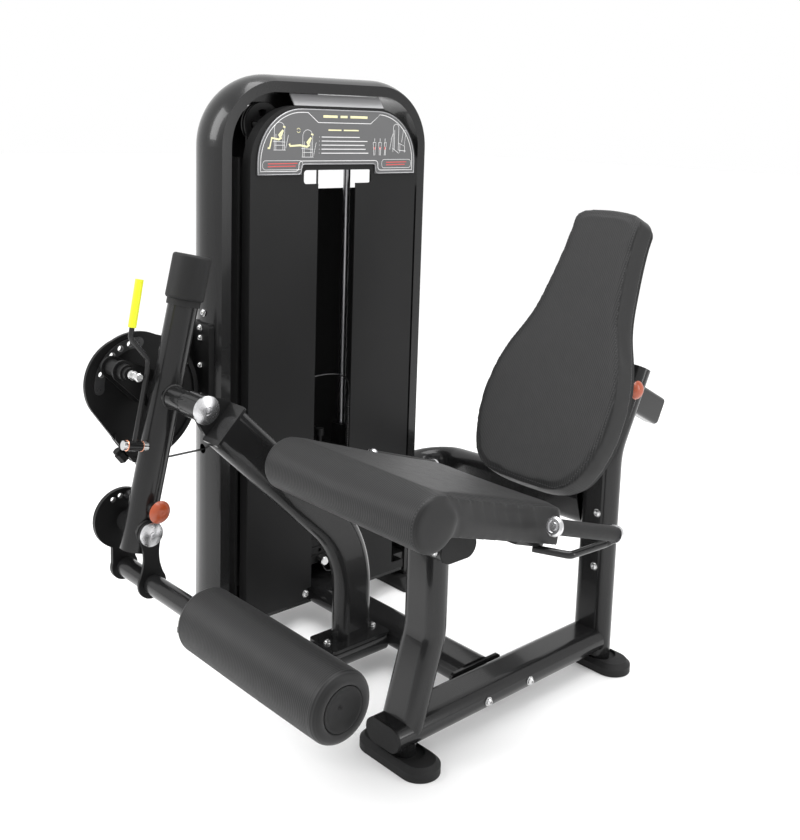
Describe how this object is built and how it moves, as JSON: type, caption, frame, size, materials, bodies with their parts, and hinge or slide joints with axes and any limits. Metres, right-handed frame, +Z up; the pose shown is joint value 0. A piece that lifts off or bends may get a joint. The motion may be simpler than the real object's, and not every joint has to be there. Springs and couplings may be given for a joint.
{
  "type": "leg extension machine",
  "caption": "Selectorised gym machine: an inclined seat with a pivoting lever and ankle roller that lifts a stack of weight plates in a shrouded tower.",
  "frame": {"origin": "on the floor, at the middle of the machine's footprint", "axes": "+Z up; the person on the seat looks along -Y; the weight tower stands at -X"},
  "size_m": [1.1309, 1.3218, 1.5099],
  "materials": {
    "frame_paint": "semi-gloss dark grey powder coat",
    "black_sheet": "satin black",
    "shroud_black": "satin black sheet",
    "sign_face": "dark grey with fine white lines",
    "rubber_black": "matte",
    "chrome": "polished",
    "zinc": "bright zinc",
    "stack_black": "fine texture black",
    "pulley_plastic": "satin",
    "cable_black": "coated wire rope",
    "vinyl": "ribbed vinyl on foam",
    "board_black": "matte",
    "grip_black": "matte",
    "silver_cap": "polished",
    "yellow_vinyl": "dipped",
    "orange_knob": "satin",
    "strip_grey": "satin",
    "foam_vinyl": "ribbed vinyl on foam"
  },
  "bodies": {
    "root": {"tower_frame": "frame_paint", "tower_feet": "rubber_black", "tower_cross_tube": "frame_paint", "front_shroud": "shroud_black", "rear_shroud": "shroud_black", "placard": "sign_face", "guide_rods": "chrome", "stack_bumpers": "rubber_black", "pulley_axles": "zinc", "pulley_brackets": "frame_paint", "drive_cable": "cable_black", "stack_cable": "cable_black", "base_rail": "frame_paint", "seat_floor_tube": "frame_paint", "floor_feet": "rubber_black", "tube_end_caps": "board_black", "support_arm": "frame_paint", "arm_hub": "frame_paint", "knee_shaft": "silver_cap", "knee_bearing_bracket": "black_sheet", "front_leg_tube": "frame_paint", "seat_cross_tube": "frame_paint", "rear_upright": "frame_paint", "link_tube": "frame_paint", "seat_pad": "vinyl", "seat_board": "board_black", "handle_rods": "frame_paint", "handle_grips": "grip_black", "handle_caps": "silver_cap", "pin_lanyard": "cable_black", "frame_bolts": "zinc"},
    "cam": {"cam_plate": "black_sheet", "index_strip": "strip_grey", "cable_fitting": "black_sheet"},
    "lever": {"lever_tube": "frame_paint", "counterweight": "rubber_black", "lever_hub": "frame_paint", "selector_arm": "black_sheet", "pin_handle_pivot": "zinc", "ankle_hub": "frame_paint"},
    "selector_pin": {"selector_pin": "zinc"},
    "pin_handle": {"pin_handle_rod": "frame_paint", "yellow_grip": "yellow_vinyl"},
    "arm_pin": {"arm_pull_pin": "orange_knob"},
    "roller_arm": {"range_disc": "black_sheet", "near_plate": "black_sheet", "ankle_pivot_bolt": "silver_cap", "roller_bar": "frame_paint"},
    "roller": {"ankle_roller": "foam_vinyl", "roller_core": "board_black"},
    "stack": {"weight_plates": "stack_black", "stack_top_plate": "stack_black"},
    "stack_pin": {"stack_pin": "zinc"},
    "backrest": {"backrest_pad": "vinyl", "backrest_board": "board_black", "backrest_carriage": "frame_paint"},
    "backrest_pin": {"backrest_pull_pin": "orange_knob"},
    "top_pulley_front": {"top_pulley_front": "pulley_plastic"},
    "top_pulley_rear": {"top_pulley_rear": "pulley_plastic"},
    "low_pulley": {"low_pulley": "pulley_plastic"}
  },
  "joints": [
    {"name": "cam_swing", "type": "hinge", "parent": "root", "child": "cam", "pos_m": [-0.3105, -0.5165, 0.752], "axis": [-1, 0, 0], "range_deg": [0, 75]},
    {"name": "lever_index", "type": "hinge", "parent": "cam", "child": "lever", "pos_m": [-0.3105, -0.5165, 0.752], "axis": [-1, 0, 0], "range_deg": [-15, 45]},
    {"name": "pin_handle_tilt", "type": "hinge", "parent": "lever", "child": "pin_handle", "pos_m": [-0.2985, -0.60256, 0.64443], "axis": [0, 0.975, -0.2222], "range_deg": [0, 5], "stiffness_Nm_per_rad": 20, "springref_deg": -2.86},
    {"name": "selector_pin_pull", "type": "slide", "parent": "lever", "child": "selector_pin", "axis": [1, 0, 0], "range_m": [0, 0.0205]},
    {"name": "arm_pin_pull", "type": "slide", "parent": "lever", "child": "arm_pin", "axis": [1, 0, 0], "range_m": [0, 0.012], "stiffness_N_per_m": 500, "springref_m": -0.01},
    {"name": "roller_arm_angle", "type": "hinge", "parent": "lever", "child": "roller_arm", "pos_m": [-0.3105, -0.587, 0.44], "axis": [-1, 0, 0], "range_deg": [-20, 40]},
    {"name": "roller_spin", "type": "hinge", "parent": "roller_arm", "child": "roller", "pos_m": [0.1995, -0.5835, 0.3175], "axis": [1, 0, 0], "continuous": true},
    {"name": "stack_lift", "type": "slide", "parent": "root", "child": "stack", "axis": [0, 0, 1], "range_m": [0, 0.262], "deforming": ["stack_cable"]},
    {"name": "stack_pin_pull", "type": "slide", "parent": "stack", "child": "stack_pin", "axis": [1, 0, 0], "range_m": [0, 0.06]},
    {"name": "backrest_slide", "type": "slide", "parent": "root", "child": "backrest", "axis": [0, 0.891, -0.454], "range_m": [-0.06, 0.06]},
    {"name": "backrest_pin_pull", "type": "slide", "parent": "root", "child": "backrest_pin", "axis": [1, 0, 0], "range_m": [0, 0.012], "stiffness_N_per_m": 500, "springref_m": -0.01},
    {"name": "top_pulley_front_turn", "type": "hinge", "parent": "root", "child": "top_pulley_front", "pos_m": [-0.4555, -0.1485, 1.383], "axis": [1, 0, 0], "range_deg": [0, 334]},
    {"name": "top_pulley_rear_turn", "type": "hinge", "parent": "root", "child": "top_pulley_rear", "pos_m": [-0.4555, -0.0055, 1.368], "axis": [1, 0, 0], "range_deg": [0, 334]},
    {"name": "low_pulley_turn", "type": "hinge", "parent": "root", "child": "low_pulley", "pos_m": [-0.4555, -0.2235, 0.573], "axis": [-1, 0, 0], "range_deg": [0, 501]}
  ],
  "couplings": [
    {"joint": "stack_lift", "follows": "cam_swing", "m_per_rad": 0.2},
    {"joint": "top_pulley_front_turn", "follows": "cam_swing", "ratio": 4.4444},
    {"joint": "top_pulley_rear_turn", "follows": "cam_swing", "ratio": 4.4444},
    {"joint": "low_pulley_turn", "follows": "cam_swing", "ratio": 6.6667},
    {"joint": "selector_pin_pull", "follows": "pin_handle_tilt", "m_per_rad": 0.23}
  ]
}
